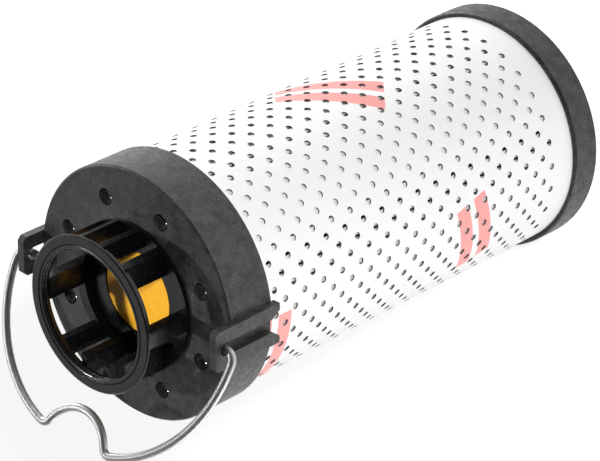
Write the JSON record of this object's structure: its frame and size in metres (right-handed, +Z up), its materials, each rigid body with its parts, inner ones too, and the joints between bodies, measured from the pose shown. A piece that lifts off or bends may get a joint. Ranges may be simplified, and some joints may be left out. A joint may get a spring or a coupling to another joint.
{
  "type": "hydraulic return-line filter element",
  "caption": "Cylindrical hydraulic filter element: pleated pack in a perforated sleeve between two end caps, with a valve cage and a hinged wire bail on top",
  "frame": {"origin": "on the axis, on the underside of the lower end cap, where the outlet bore opens", "axes": "+Z up along the element's axis towards the valve cage, +X along the bail's hinge towards one of its lugs, -Y the side the bail leans to"},
  "size_m": [0.111, 0.0951, 0.2277],
  "materials": {
    "cap_plastic": "moulded, glass filled, slightly mottled",
    "cage_plastic": "moulded, smooth",
    "sleeve_plastic": "smooth sheet, perforated",
    "tube_steel": "zinc plated",
    "mesh_plastic": "woven",
    "mesh_steel": "bright",
    "fleece": "felted",
    "media": "fine fibre",
    "glue": "cast, glossy",
    "rubber": "smooth",
    "basket_plastic": "moulded",
    "valve_plastic": "moulded, satin",
    "spring_steel": "bright",
    "wire_steel": "dull galvanised"
  },
  "bodies": {
    "element": {"top_end_cap": "cap_plastic", "bottom_end_cap": "cap_plastic", "outer_sleeve": "sleeve_plastic", "support_tube": "tube_steel", "outer_mesh": "mesh_plastic", "outer_fleece": "fleece", "glass_media": "media", "inner_fleece": "fleece", "inner_mesh": "mesh_steel", "seam_strip": "mesh_steel", "top_glue": "glue", "bottom_glue": "glue", "outlet_seal": "rubber", "valve_cage": "cage_plastic", "spigot_seal": "rubber", "valve_basket": "basket_plastic", "bypass_spring": "spring_steel"},
    "valve": {"bypass_plate": "valve_plastic", "valve_seal": "rubber", "stem_clip": "spring_steel"},
    "bail": {"bail_handle": "wire_steel"}
  },
  "joints": [
    {"name": "valve_slide", "type": "slide", "parent": "element", "child": "valve", "axis": [0, 0, -1], "range_m": [0, 0.007], "stiffness_N_per_m": 2000, "springref_m": -0.01, "deforming": ["bypass_spring"]},
    {"name": "bail_hinge", "type": "hinge", "parent": "element", "child": "bail", "pos_m": [0, 0, 0.2017], "axis": [1, 0, 0], "range_deg": [-155.5, 31.5]}
  ]
}
